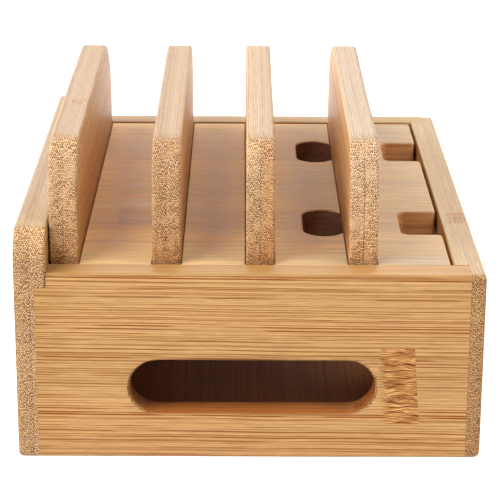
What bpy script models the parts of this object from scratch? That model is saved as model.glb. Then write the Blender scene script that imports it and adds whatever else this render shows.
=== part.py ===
# Bamboo device stand: an open-slotted box with a lift-off lid that carries four upright dividers.
#
# Metres, +Z up. +X runs from the tall side wall to the low one, +Y from the near end wall to the far one.
# The origin is the centre of the box's footprint, at the surface that it stands on.

import math

import bmesh
import bpy
from mathutils import Vector

# Box
box_width = 0.160
box_length = 0.210
rim_height = 0.067
wood_gap = 0.0003                  # between glued or seated pieces
rim_edge_radius = 0.0015           # outer edges of the end walls
long_edge_radius = 0.002           # outer long edges of the side walls
wall_edge_radius = 0.001           # the other outer edges of the side walls
inner_edge_radius = 0.0006

# Tall side wall
tall_wall_thickness = 0.011
tall_wall_height = 0.0815
tall_wall_near_radius = 0.011
tall_wall_far_radius = 0.027
tall_rabbet_depth = 0.004
rabbet_stop_drop = 0.0049          # the tall wall's rabbets stop this far below the rim

# Low side wall
low_wall_thickness = 0.010
low_rabbet_depth = 0.005

# End walls and their cable slots
end_wall_thickness = 0.011
slot_length = 0.0845
slot_height = 0.0196
slot_centre_height = 0.026
slot_edge_radius = 0.0012

# Floor panel, held in grooves in the four walls
floor_thickness = 0.005
floor_clearance_below = 0.003
floor_groove_depth = 0.0035

# Cleats under the lid's two ends
cleat_width = 0.008
cleat_height = 0.008

# Lid board
lid_thickness = 0.010
lid_drop = 0.0003                  # its top lies this far below the rim
lid_gap_tall_side = 0.0004
lid_gap_low_side = 0.0010
lid_gap_near = 0.0004
lid_gap_far = 0.0008
lid_corner_radius = 0.0015
lid_edge_radius = 0.0007

# Cable holes and notches in the lid, one of each in each row
hole_width = 0.0148
hole_length = 0.031
notch_depth = 0.0145
notch_length = 0.027
notch_inner_radius = 0.0035
row_place_shares = (0.2543, 0.7623)      # row centres, of the lid's length

# Dividers
divider_thickness = 0.0098
overall_height = 0.108
divider_near_radius = 0.020
divider_far_radius = 0.035
divider_edge_radius = 0.0009
divider_setback = 0.0005           # from the lid's near and far edges
divider_groove_depth = 0.0025
divider_place_shares = (0.0, 0.2551, 0.4884, 0.7449)   # left faces, of the lid's width

# Countersunk wood screws, up through the lid into the dividers
screw_shank_radius = 0.0015
screw_head_radius = 0.003
screw_head_height = 0.0018
screw_length = 0.020
screw_tip_length = 0.003
screw_tip_radius = 0.0004
screw_recess = 0.0003              # head below the lid's underside
screw_cross_width = 0.0008
screw_cross_length = 0.0034
screw_cross_depth = 0.0009
screw_place_shares = (0.14, 0.5, 0.86)   # of the dividers' length

# Working values
cut_overrun = 0.002
match_tolerance = 0.00001
weld_distance = 0.00001
large_round_steps = 14
small_round_steps = 2
half_circle_steps = 12
corner_steps = 4
screw_sides = 12
smooth_angle = 30                  # degrees

# Places that follow from the sizes above
left = -box_width / 2
right = box_width / 2
near = -box_length / 2
far = box_length / 2
tall_inner = left + tall_wall_thickness
low_inner = right - low_wall_thickness
near_inner = near + end_wall_thickness
far_inner = far - end_wall_thickness
rabbet_stop_height = rim_height - rabbet_stop_drop
tall_rabbet_floor = tall_inner - tall_rabbet_depth
low_rabbet_floor = low_inner + low_rabbet_depth
floor_top = floor_clearance_below + floor_thickness

lid_left = tall_inner + lid_gap_tall_side
lid_right = low_inner - lid_gap_low_side
lid_near = near_inner + lid_gap_near
lid_far = far_inner - lid_gap_far
lid_top = rim_height - lid_drop
lid_bottom = lid_top - lid_thickness
lid_centre = Vector(((lid_left + lid_right) / 2, (lid_near + lid_far) / 2, (lid_bottom + lid_top) / 2))

groove_floor = lid_top - divider_groove_depth
divider_foot = groove_floor + wood_gap
divider_near = lid_near + divider_setback
divider_far = lid_far - divider_setback
divider_lefts = [lid_left + share * (lid_right - lid_left) for share in divider_place_shares]
divider_rise = overall_height - lid_top

hole_right = divider_lefts[-1] + wood_gap
row_centres = [lid_near + share * (lid_far - lid_near) for share in row_place_shares]


def clear_scene():
    for item in list(bpy.data.objects):
        bpy.data.objects.remove(item, do_unlink=True)


def new_collection(name):
    collection = bpy.data.collections.new(name)
    bpy.context.scene.collection.children.link(collection)
    return collection


def new_material(name, colour, roughness, metallic=0.0):
    material = bpy.data.materials.new(name)
    material.use_nodes = True
    shader = material.node_tree.nodes["Principled BSDF"]
    shader.inputs["Base Color"].default_value = (*colour, 1.0)
    shader.inputs["Roughness"].default_value = roughness
    shader.inputs["Metallic"].default_value = metallic
    return material


def place(name, mesh, location, collection, material=None):
    piece = bpy.data.objects.new(name, mesh)
    piece.location = location
    collection.objects.link(piece)
    if material:
        mesh.materials.append(material)
    return piece


def box(name, low, high, collection, material=None):
    """A box between two corners, with its origin at its centre."""
    low = Vector(low)
    high = Vector(high)
    shape = bmesh.new()
    bmesh.ops.create_cube(shape, size=1.0)
    bmesh.ops.scale(shape, vec=high - low, verts=shape.verts)
    mesh = bpy.data.meshes.new(name)
    shape.to_mesh(mesh)
    shape.free()
    return place(name, mesh, (low + high) / 2, collection, material)


def close(value, target):
    return abs(value - target) < match_tolerance


def round_edges(piece, radius, steps, chosen):
    """Rounds the edges whose two end points, in world space, are chosen."""
    shape = bmesh.new()
    shape.from_mesh(piece.data)
    edges = []
    for edge in shape.edges:
        ends = [piece.matrix_basis @ vertex.co for vertex in edge.verts]
        if chosen(*ends):
            edges.append(edge)
    bmesh.ops.bevel(
        shape, geom=edges, offset=radius, offset_type="OFFSET", segments=steps,
        profile=0.5, affect="EDGES", clamp_overlap=True)
    shape.to_mesh(piece.data)
    shape.free()


def both(test):
    """A choice of edges whose two ends both pass a test."""
    return lambda first, second: test(first) and test(second)


def round_outline(piece, face, foot, radius):
    """Rounds the edges round one side face of an upright board, apart from the one along its foot."""
    def on_outline(first, second):
        on_face = close(first.x, face) and close(second.x, face)
        on_foot = close(first.z, foot) and close(second.z, foot)
        return on_face and not on_foot

    round_edges(piece, radius, small_round_steps, on_outline)


def shade_smooth(piece):
    piece.data.shade_smooth()
    piece.data.set_sharp_from_angle(angle=math.radians(smooth_angle))


def as_cutter(piece):
    piece.hide_render = True
    piece.display_type = "WIRE"
    return piece


def cut(piece, cutter):
    modifier = piece.modifiers.new(cutter.name, "BOOLEAN")
    modifier.operation = "DIFFERENCE"
    modifier.solver = "EXACT"
    modifier.object = cutter


def arc(centre, radius, start, end, steps=corner_steps):
    """Points along an arc, from one angle to another, in degrees."""
    points = []
    for step in range(steps + 1):
        angle = math.radians(start + (end - start) * step / steps)
        points.append((centre[0] + radius * math.cos(angle), centre[1] + radius * math.sin(angle)))
    return points


def stadium(centre, length, width, along_x):
    """A round-ended slot outline, counter-clockwise."""
    radius = width / 2
    half = length / 2 - radius
    if along_x:
        first = (centre[0] + half, centre[1])
        second = (centre[0] - half, centre[1])
        return (arc(first, radius, -90, 90, half_circle_steps)
                + arc(second, radius, 90, 270, half_circle_steps))
    first = (centre[0], centre[1] + half)
    second = (centre[0], centre[1] - half)
    return (arc(first, radius, 0, 180, half_circle_steps)
            + arc(second, radius, 180, 360, half_circle_steps))


def flat_solid(name, outlines, thickness, edge_radius, location, turn, collection, material=None):
    """A board from flat outlines, the first one outside and the others holes, as a welded mesh."""
    curve = bpy.data.curves.new(name, "CURVE")
    curve.dimensions = "2D"
    curve.fill_mode = "BOTH"
    curve.extrude = thickness / 2 - edge_radius
    curve.bevel_depth = edge_radius
    curve.bevel_resolution = small_round_steps - 1
    curve.offset = -edge_radius
    for outline in outlines:
        spline = curve.splines.new("POLY")
        spline.points.add(len(outline) - 1)
        for point, (across, along) in zip(spline.points, outline):
            point.co = (across, along, 0.0, 1.0)
        spline.use_cyclic_u = True
    guide = bpy.data.objects.new(name + "_guide", curve)
    collection.objects.link(guide)
    bpy.context.view_layer.update()
    evaluated = guide.evaluated_get(bpy.context.evaluated_depsgraph_get())
    mesh = bpy.data.meshes.new_from_object(evaluated)
    mesh.name = name
    shape = bmesh.new()
    shape.from_mesh(mesh)
    bmesh.ops.remove_doubles(shape, verts=shape.verts, dist=weld_distance)
    bmesh.ops.recalc_face_normals(shape, faces=shape.faces)
    shape.to_mesh(mesh)
    shape.free()
    mesh.materials.clear()
    bpy.data.objects.remove(guide, do_unlink=True)
    piece = place(name, mesh, location, collection, material)
    piece.rotation_euler = turn
    return piece


def side_rabbets(wall_name, inner, rabbet_floor, top, cutters):
    """Cutters for the rabbets that take the end walls, at both ends of a side wall."""
    pieces = []
    low_x = min(rabbet_floor, inner)
    high_x = max(rabbet_floor, inner)
    if rabbet_floor < inner:
        high_x += cut_overrun
    else:
        low_x -= cut_overrun
    depth = end_wall_thickness + wood_gap
    for end_name, outer_y, inner_y in (("near", near - cut_overrun, near + depth),
                                       ("far", far + cut_overrun, far - depth)):
        low = (low_x, min(outer_y, inner_y), -cut_overrun)
        high = (high_x, max(outer_y, inner_y), top)
        pieces.append(as_cutter(box(wall_name + "_" + end_name + "_rabbet", low, high, cutters)))
    return pieces


def floor_groove(wall_name, low_xy, high_xy, cutters):
    low = (low_xy[0], low_xy[1], floor_clearance_below - wood_gap)
    high = (high_xy[0], high_xy[1], floor_top + wood_gap)
    return as_cutter(box(wall_name + "_floor_groove", low, high, cutters))


def make_tall_side_wall(parts, cutters, material):
    wall = box("tall_side_wall", (left, near, 0), (tall_inner, far, tall_wall_height), parts, material)
    round_edges(wall, long_edge_radius, small_round_steps + 1,
                both(lambda end: close(end.x, left) and close(end.z, 0)))
    for corner, radius in ((near, tall_wall_near_radius), (far, tall_wall_far_radius)):
        round_edges(wall, radius, large_round_steps,
                    both(lambda end: close(end.z, tall_wall_height) and close(end.y, corner)))
    for face in (left, tall_inner):
        round_outline(wall, face, 0, wall_edge_radius)
    for cutter in side_rabbets("tall_wall", tall_inner, tall_rabbet_floor, rabbet_stop_height, cutters):
        cut(wall, cutter)
    cut(wall, floor_groove("tall_wall", (tall_inner - floor_groove_depth, near - cut_overrun),
                           (tall_inner + cut_overrun, far + cut_overrun), cutters))
    return wall


def make_low_side_wall(parts, cutters, material):
    wall = box("low_side_wall", (low_inner, near, 0), (right, far, rim_height), parts, material)
    round_edges(wall, long_edge_radius, small_round_steps + 1,
                both(lambda end: close(end.x, right) and (close(end.z, 0) or close(end.z, rim_height))))
    round_edges(wall, inner_edge_radius, small_round_steps,
                both(lambda end: close(end.x, low_inner) and close(end.z, rim_height)))

    def on_end_outline(first, second):
        on_end = close(abs(first.y), far) and close(first.y, second.y)
        on_inner_face = close(first.x, low_inner) and close(second.x, low_inner)
        return on_end and not on_inner_face

    round_edges(wall, wall_edge_radius, small_round_steps, on_end_outline)
    for cutter in side_rabbets("low_wall", low_inner, low_rabbet_floor, rim_height + cut_overrun, cutters):
        cut(wall, cutter)
    cut(wall, floor_groove("low_wall", (low_inner - cut_overrun, near - cut_overrun),
                           (low_inner + floor_groove_depth, far + cut_overrun), cutters))
    return wall


def end_wall_outline():
    """The end wall seen from the near side, with the notch round the tall wall at its upper left corner."""
    tongue_left = tall_rabbet_floor + wood_gap
    wall_right = low_rabbet_floor - wood_gap
    return [
        (tongue_left, 0),
        (wall_right, 0),
        (wall_right, rim_height),
        (tall_inner + wood_gap, rim_height),
        (tall_inner + wood_gap, rabbet_stop_height - wood_gap),
        (tongue_left, rabbet_stop_height - wood_gap),
    ]


def make_end_wall(name, outer, inner, parts, cutters, material):
    slot_centre = ((tall_rabbet_floor + low_rabbet_floor) / 2, slot_centre_height)
    slot = stadium(slot_centre, slot_length, slot_height, along_x=True)
    upright = (math.radians(90), 0, 0)
    wall = flat_solid(name, [end_wall_outline(), slot], end_wall_thickness, 0,
                      (0, (outer + inner) / 2, 0), upright, parts, material)

    def on_slot_rim(end):
        beside = abs(end.x - slot_centre[0]) < slot_length / 2 + match_tolerance
        level = abs(end.z - slot_centre_height) < slot_height / 2 + match_tolerance
        return beside and level

    for face in (outer, inner):
        round_edges(wall, slot_edge_radius, small_round_steps,
                    both(lambda end: on_slot_rim(end) and close(end.y, face)))
    round_edges(wall, rim_edge_radius, small_round_steps + 1,
                both(lambda end: close(end.y, outer) and close(end.z, rim_height)))
    round_edges(wall, inner_edge_radius, small_round_steps,
                both(lambda end: close(end.y, outer) and close(end.z, 0)))
    round_edges(wall, inner_edge_radius, small_round_steps,
                both(lambda end: close(end.y, inner) and close(end.z, rim_height)))
    toward_outside = math.copysign(floor_groove_depth, outer - inner)
    past_inside = math.copysign(cut_overrun, inner - outer)
    groove_ys = sorted((inner + toward_outside, inner + past_inside))
    cut(wall, floor_groove(name, (left, groove_ys[0]), (right, groove_ys[1]), cutters))
    return wall


def make_floor_panel(parts, material):
    reach = floor_groove_depth - wood_gap
    low = (tall_inner - reach, near_inner - reach, floor_clearance_below)
    high = (low_inner + reach, far_inner + reach, floor_top)
    return box("floor_panel", low, high, parts, material)


def make_cleat(name, wall_face, direction, parts, material):
    """A strip along an end wall's inner face, with the lid's end resting over it."""
    first_y = wall_face + direction * wood_gap
    second_y = first_y + direction * cleat_width
    top = lid_bottom - wood_gap
    low = (tall_inner + wood_gap, min(first_y, second_y), top - cleat_height)
    high = (low_inner - wood_gap, max(first_y, second_y), top)
    cleat = box(name, low, high, parts, material)
    edge_y = second_y
    round_edges(cleat, inner_edge_radius, small_round_steps,
                both(lambda end: close(end.y, edge_y) and close(end.z, top - cleat_height)))
    return cleat


def notch_outline(row_centre):
    """Points round one notch, along the lid's open right edge from its near corner to its far one."""
    floor_x = lid_right - notch_depth
    far_side = row_centre + notch_length / 2
    near_side = row_centre - notch_length / 2
    points = arc((lid_right - lid_corner_radius, near_side - lid_corner_radius), lid_corner_radius, 0, 90)
    points += arc((floor_x + notch_inner_radius, near_side + notch_inner_radius), notch_inner_radius, -90, -180)
    points += arc((floor_x + notch_inner_radius, far_side - notch_inner_radius), notch_inner_radius, 180, 90)
    points += arc((lid_right - lid_corner_radius, far_side + lid_corner_radius), lid_corner_radius, -90, 0)
    return points


def lid_outline():
    """Counter-clockwise from above: the near edge, the notched right edge, the far edge and the left edge."""
    reach = lid_corner_radius
    points = arc((lid_left + reach, lid_near + reach), reach, 180, 270)
    points += arc((lid_right - reach, lid_near + reach), reach, -90, 0)
    for row_centre in row_centres:
        points += notch_outline(row_centre)
    points += arc((lid_right - reach, lid_far - reach), reach, 0, 90)
    points += arc((lid_left + reach, lid_far - reach), reach, 90, 180)
    return points


def make_lid_board(parts, cutters, material):
    hole_centre_x = hole_right - hole_width / 2
    outlines = [lid_outline()]
    for row_centre in row_centres:
        outlines.append(stadium((hole_centre_x, row_centre), hole_length, hole_width, along_x=False))
    centred = []
    for outline in outlines:
        centred.append([(x - lid_centre.x, y - lid_centre.y) for x, y in outline])
    lid = flat_solid("lid_board", centred, lid_thickness, lid_edge_radius, lid_centre, (0, 0, 0), parts, material)
    for number, divider_left in enumerate(divider_lefts, start=1):
        low = (divider_left - wood_gap, lid_near - cut_overrun, groove_floor)
        high = (divider_left + divider_thickness + wood_gap, lid_far + cut_overrun, lid_top + cut_overrun)
        if number == 1:
            low = (low[0] - cut_overrun, low[1], low[2])
        cut(lid, as_cutter(box("divider_%d_groove" % number, low, high, cutters)))
    return lid


def make_divider(number, divider_left, parts, material):
    divider_right = divider_left + divider_thickness
    divider = box("divider_%d" % number, (divider_left, divider_near, divider_foot),
                  (divider_right, divider_far, overall_height), parts, material)
    round_edges(divider, min(divider_near_radius, divider_rise), large_round_steps,
                both(lambda end: close(end.z, overall_height) and close(end.y, divider_near)))
    round_edges(divider, min(divider_far_radius, divider_rise), large_round_steps,
                both(lambda end: close(end.z, overall_height) and close(end.y, divider_far)))
    for face in (divider_left, divider_right):
        round_outline(divider, face, divider_foot, divider_edge_radius)
    return divider


def turned(name, profile, collection, material=None):
    """A solid turned about Z from (radius, height) points that run from its top to its bottom."""
    mesh = bpy.data.meshes.new(name)
    points = [(radius, 0, height) for radius, height in profile]
    edges = [(index, index + 1) for index in range(len(points) - 1)]
    mesh.from_pydata(points, edges, [])
    solid = place(name, mesh, (0, 0, 0), collection, material)
    screw = solid.modifiers.new("turn", "SCREW")
    screw.axis = "Z"
    screw.angle = math.radians(360)
    screw.steps = screw_sides
    screw.render_steps = screw_sides
    screw.use_merge_vertices = True
    screw.merge_threshold = weld_distance
    return solid


def screw_profile():
    """Half of a screw's section, from its tip down to the flat of its head."""
    tip_start = screw_length - screw_tip_length
    return [
        (0, screw_length),
        (screw_tip_radius, screw_length),
        (screw_shank_radius, tip_start),
        (screw_shank_radius, screw_head_height),
        (screw_head_radius, 0),
        (0, 0),
    ]


def screw_hole_profile():
    """The screw's section with a gap all round, open below the head."""
    shank = screw_shank_radius + wood_gap
    head = screw_head_radius + wood_gap
    return [
        (0, screw_length + wood_gap),
        (shank, screw_length + wood_gap),
        (shank, screw_head_height),
        (head, 0),
        (head, -screw_recess - cut_overrun),
        (0, -screw_recess - cut_overrun),
    ]


def screw_places(divider_left):
    """The centres of the screw heads in the row under one divider."""
    places = []
    for share in screw_place_shares:
        y = divider_near + share * (divider_far - divider_near)
        places.append((divider_left + divider_thickness / 2, y, lid_bottom + screw_recess))
    return places


def finished_mesh(name, pattern):
    """The mesh that a pattern object gives with its modifiers; the pattern is removed."""
    bpy.context.view_layer.update()
    evaluated = pattern.evaluated_get(bpy.context.evaluated_depsgraph_get())
    mesh = bpy.data.meshes.new_from_object(evaluated)
    mesh.name = name
    mesh.materials.clear()
    bpy.data.objects.remove(pattern, do_unlink=True)
    return mesh


def screw_mesh(collection):
    """One screw that points up, with a cross recess in its head."""
    screw = turned("screw_pattern", screw_profile(), collection)
    half_width = screw_cross_width / 2
    half_length = screw_cross_length / 2
    arms = []
    for half_x, half_y in ((half_length, half_width), (half_width, half_length)):
        low = (-half_x, -half_y, -cut_overrun)
        high = (half_x, half_y, screw_cross_depth)
        arm = box("screw_recess_arm", low, high, collection)
        cut(screw, arm)
        arms.append(arm)
    mesh = finished_mesh("countersunk_screw", screw)
    for arm in arms:
        bpy.data.objects.remove(arm, do_unlink=True)
    return mesh


def make_screws(parts, cutters, material):
    mesh = screw_mesh(cutters)
    mesh.materials.append(material)
    screws = []
    for number, divider_left in enumerate(divider_lefts, start=1):
        for place_number, spot in enumerate(screw_places(divider_left), start=1):
            name = "divider_%d_screw_%d" % (number, place_number)
            screws.append(place(name, mesh, spot, parts))
    return screws


def make_screw_holes(cutters):
    """One cutter for each screw, in a list for each divider."""
    mesh = finished_mesh("screw_hole", turned("screw_hole_pattern", screw_hole_profile(), cutters))
    rows = []
    for number, divider_left in enumerate(divider_lefts, start=1):
        row = []
        for place_number, spot in enumerate(screw_places(divider_left), start=1):
            name = "divider_%d_screw_hole_%d" % (number, place_number)
            row.append(as_cutter(place(name, mesh, spot, cutters)))
        rows.append(row)
    return rows


def carry_on_lid(pieces, parts):
    """Parents the lid's pieces to an empty at the lid's centre, on the line along which it lifts."""
    lift = bpy.data.objects.new("lid_lift", None)
    lift.location = lid_centre
    parts.objects.link(lift)
    bpy.context.view_layer.update()
    for piece in pieces:
        piece.parent = lift
        piece.matrix_parent_inverse = lift.matrix_world.inverted()


def make_box(parts, cutters):
    side = new_material("side_wall_bamboo", (0.76, 0.53, 0.31), 0.45)
    end = new_material("end_wall_bamboo", (0.72, 0.45, 0.21), 0.45)
    floor = new_material("floor_bamboo", (0.50, 0.31, 0.16), 0.55)
    cleat = new_material("cleat_bamboo", (0.56, 0.36, 0.19), 0.55)
    make_tall_side_wall(parts, cutters, side)
    make_low_side_wall(parts, cutters, side)
    make_end_wall("near_end_wall", near, near_inner, parts, cutters, end)
    make_end_wall("far_end_wall", far, far_inner, parts, cutters, end)
    make_floor_panel(parts, floor)
    make_cleat("near_lid_cleat", near_inner, 1, parts, cleat)
    make_cleat("far_lid_cleat", far_inner, -1, parts, cleat)


def make_lid(parts, cutters):
    board = new_material("lid_bamboo", (0.66, 0.43, 0.27), 0.45)
    upright = new_material("divider_bamboo", (0.78, 0.55, 0.33), 0.45)
    steel = new_material("zinc_plated_steel", (0.62, 0.60, 0.55), 0.35, 1.0)
    lid_board = make_lid_board(parts, cutters, board)
    lid_pieces = [lid_board]
    hole_rows = make_screw_holes(cutters)
    for number, divider_left in enumerate(divider_lefts, start=1):
        divider = make_divider(number, divider_left, parts, upright)
        for hole in hole_rows[number - 1]:
            cut(lid_board, hole)
            cut(divider, hole)
        lid_pieces.append(divider)
    lid_pieces += make_screws(parts, cutters, steel)
    return lid_pieces


def main():
    clear_scene()
    parts = new_collection("bamboo_device_stand")
    cutters = new_collection("cutters")
    make_box(parts, cutters)
    lid_pieces = make_lid(parts, cutters)
    carry_on_lid(lid_pieces, parts)
    for piece in parts.objects:
        if piece.type == "MESH":
            shade_smooth(piece)


main()
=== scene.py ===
import math

import bpy
import numpy as np
from mathutils import Matrix, Vector
from mathutils.geometry import tessellate_polygon


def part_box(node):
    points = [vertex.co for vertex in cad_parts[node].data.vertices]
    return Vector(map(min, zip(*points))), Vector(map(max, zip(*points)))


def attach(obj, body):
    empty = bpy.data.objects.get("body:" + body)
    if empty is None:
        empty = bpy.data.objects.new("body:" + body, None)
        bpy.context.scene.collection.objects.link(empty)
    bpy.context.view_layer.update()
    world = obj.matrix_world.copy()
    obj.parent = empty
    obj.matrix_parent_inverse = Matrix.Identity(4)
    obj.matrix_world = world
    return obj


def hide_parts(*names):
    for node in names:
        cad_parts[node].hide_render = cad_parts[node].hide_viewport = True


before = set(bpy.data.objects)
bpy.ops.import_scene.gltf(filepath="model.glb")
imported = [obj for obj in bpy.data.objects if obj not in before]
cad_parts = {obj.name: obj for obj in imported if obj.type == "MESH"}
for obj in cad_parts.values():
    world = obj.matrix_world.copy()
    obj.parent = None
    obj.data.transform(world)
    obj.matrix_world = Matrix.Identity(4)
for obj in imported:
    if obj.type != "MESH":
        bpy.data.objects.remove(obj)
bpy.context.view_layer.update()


def stand(name, data):
    # Puts a new object into the scene
    piece = bpy.data.objects.new(name, data)
    bpy.context.scene.collection.objects.link(piece)
    return piece


# Camera: 0.79 m away and 19 degrees above the box, just left of its middle
shot = {
    "place": (-0.00286, -0.73361, 0.28859),   # metres
    "downward": 18.694,                       # degrees
    "rightward": 0.255,
    "tilt": 0.304,
    "focalPixels": 1978.9,
    "framePixels": 500.0,
    "sensor": 36.0,                           # mm
    "clip": (0.05, 20.0),                     # metres
}


def makeCamera(shot):
    # The view direction from the two angles, then the camera's right and up turned by the tilt
    down, right, tilt = (math.radians(shot[key]) for key in ("downward", "rightward", "tilt"))
    forward = Vector((math.sin(right) * math.cos(down), math.cos(right) * math.cos(down), -math.sin(down)))
    level = Vector((math.cos(right), -math.sin(right), 0))
    upright = level.cross(forward)
    side = math.cos(tilt) * level + math.sin(tilt) * upright
    top = math.cos(tilt) * upright - math.sin(tilt) * level
    lens = bpy.data.cameras.new("photoCamera")
    lens.sensor_width = shot["sensor"]
    lens.lens = shot["sensor"] * shot["focalPixels"] / shot["framePixels"]
    lens.clip_start, lens.clip_end = shot["clip"]
    camera = stand("photoCamera", lens)
    camera.matrix_world = Matrix((side, top, -forward)).transposed().to_4x4()
    camera.location = shot["place"]
    bpy.context.scene.camera = camera


# Studio: white paper that curves up behind, and seven soft round lights, the two strongest of them high up
studio = {
    "floorHalfWidth": 3.0,
    "floorNear": -2.5,
    "floorFar": 1.6,
    "wallHeight": 3.0,
    "sweepRadius": 0.9,
    "sweepSteps": 17,
    "floorDrop": 0.00005,       # keeps the paper just under the box's foot
    "floorColour": (244, 244, 243),
    "floorGlow": 0.25,
    "wallGlow": 0.0,
    "glowChange": (0.15, 1.1),  # from where to where, going back, the floor's glow turns into the wall's
    "paperRoughness": 0.9,
    "skyColour": (255, 255, 255),
    "skyStrength": 0.06,
    "lightTarget": (0, 0, 0.05),
    "lightSize": 1.2,
    "lights": {  # where each stands, its power in watts and its colour
        "left": ((-1.6, -0.4, 1.0), 18, (255, 254, 252)),
        "leftBack": ((-1.4, 0.7, 1.0), 22, (255, 255, 255)),
        "rightBack": ((1.4, 0.7, 1.0), 11, (255, 255, 255)),
        "highLeft": ((-1.0, -0.8, 1.7), 32, (255, 254, 252)),
        "highRight": ((1.0, -0.4, 1.7), 25, (255, 254, 252)),
        "nearLeft": ((-1.2, -1.3, 1.0), 5, (255, 254, 252)),
        "back": ((0.0, 1.3, 1.2), 5, (255, 255, 255)),
    },
}


def linear(colour):
    # Screen values from 0 to 255 as the linear light that shaders take, with full alpha
    parts = [value / 255 for value in colour]
    return tuple(v / 12.92 if v <= 0.04045 else ((v + 0.055) / 1.055) ** 2.4 for v in parts) + (1.0,)


def addNode(tree, kind, **settings):
    node = tree.nodes.new(kind)
    for key, value in settings.items():
        setattr(node, key, value)
    return node


def feed(tree, socket, value):
    if isinstance(value, bpy.types.NodeSocket):
        tree.links.new(value, socket)
    else:
        socket.default_value = value


def calc(tree, operation, *values):
    node = addNode(tree, "ShaderNodeMath", operation=operation)
    for socket, value in zip(node.inputs, values):
        feed(tree, socket, value)
    return node.outputs[0]


def ease(tree, value, start, end, low=0.0, high=1.0):
    node = addNode(tree, "ShaderNodeMapRange", interpolation_type="SMOOTHSTEP")
    for socket, entry in zip(node.inputs, (value, start, end, low, high)):
        feed(tree, socket, entry)
    return node.outputs[0]


def separate(tree, kind, socket):
    # The three parts of a colour or of a place
    node = addNode(tree, "ShaderNodeSeparate" + kind)
    tree.links.new(socket, node.inputs[0])
    return node.outputs


def startMaterial(name):
    # A new material with its tree, its shader and the coordinates that its patterns read
    material = bpy.data.materials.new(name)
    material.use_nodes = True
    tree = material.node_tree
    return material, tree, tree.nodes["Principled BSDF"], addNode(tree, "ShaderNodeTexCoord").outputs


def makeStudio(studio):
    # The sweep: a flat floor, a quarter circle, then a wall, carried sideways
    radius = studio["sweepRadius"]
    turn = np.linspace(0, math.pi / 2, studio["sweepSteps"])
    along = np.concatenate(([studio["floorNear"]], studio["floorFar"] - radius + radius * np.sin(turn),
                            [studio["floorFar"]]))
    height = np.concatenate(([0.0], radius - radius * np.cos(turn), [studio["wallHeight"]]))
    width = studio["floorHalfWidth"]
    count = len(along)
    points = np.zeros((2, count, 3))
    points[0, :, 0] = -width
    points[1, :, 0] = width
    points[:, :, 1] = along
    points[:, :, 2] = height - studio["floorDrop"]
    step = np.arange(count - 1)
    faces = np.stack((step, count + step, count + step + 1, step + 1), axis=1)
    mesh = bpy.data.meshes.new("studioSweep")
    mesh.from_pydata(points.reshape(-1, 3).tolist(), [], faces.tolist())
    mesh.shade_smooth()
    sweep = stand("studioSweep", mesh)
    # The paper glows faintly round the box, and no longer where it rises as the backdrop
    paper, tree, shader, coordinate = startMaterial("palePaper")
    shader.inputs["Base Color"].default_value = linear(studio["floorColour"])
    shader.inputs["Roughness"].default_value = studio["paperRoughness"]
    shader.inputs["Emission Color"].default_value = (1, 1, 1, 1)
    split = separate(tree, "XYZ", coordinate["Object"])
    glow = ease(tree, split[1], *studio["glowChange"], studio["floorGlow"], studio["wallGlow"])
    tree.links.new(glow, shader.inputs["Emission Strength"])
    mesh.materials.append(paper)

    world = bpy.data.worlds.new("studioSky")
    world.use_nodes = True
    sky = world.node_tree.nodes["Background"]
    sky.inputs["Color"].default_value = linear(studio["skyColour"])
    sky.inputs["Strength"].default_value = studio["skyStrength"]
    bpy.context.scene.world = world

    for name, (place, power, colour) in studio["lights"].items():
        lamp = bpy.data.lights.new(name + "Light", "AREA")
        lamp.shape = "DISK"
        lamp.size = studio["lightSize"]
        lamp.energy = power
        lamp.color = linear(colour)[:3]
        holder = stand(name + "Light", lamp)
        holder.location = place
        toTarget = Vector(studio["lightTarget"]) - Vector(place)
        holder.rotation_euler = toTarget.to_track_quat("-Z", "Y").to_euler()


makeCamera(shot)
makeStudio(studio)
bpy.context.scene.view_settings.view_transform = "Standard"
print("studio and camera ready")


# How finely the boards' rounds are drawn, in metres and counts
finish = {
    "support": 0.00015,      # a narrow flat strip beside each round keeps the faces flat
    "supportShare": 0.3,     # but never more than this share of the straight beside it
    "crispRound": 0.00003,   # a corner that looks sharp
    "hiddenEdge": 0.0003,    # round of an edge that other boards cover
    "edgeSteps": 5,
    "leastStep": 0.000004,   # rings closer than this become one
    "seam": 0.00002,         # half of a glued joint's hairline
    "overrun": 0.01,         # how far a cutting box reaches past the board
    "sharpAngle": 35,        # degrees
}


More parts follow.
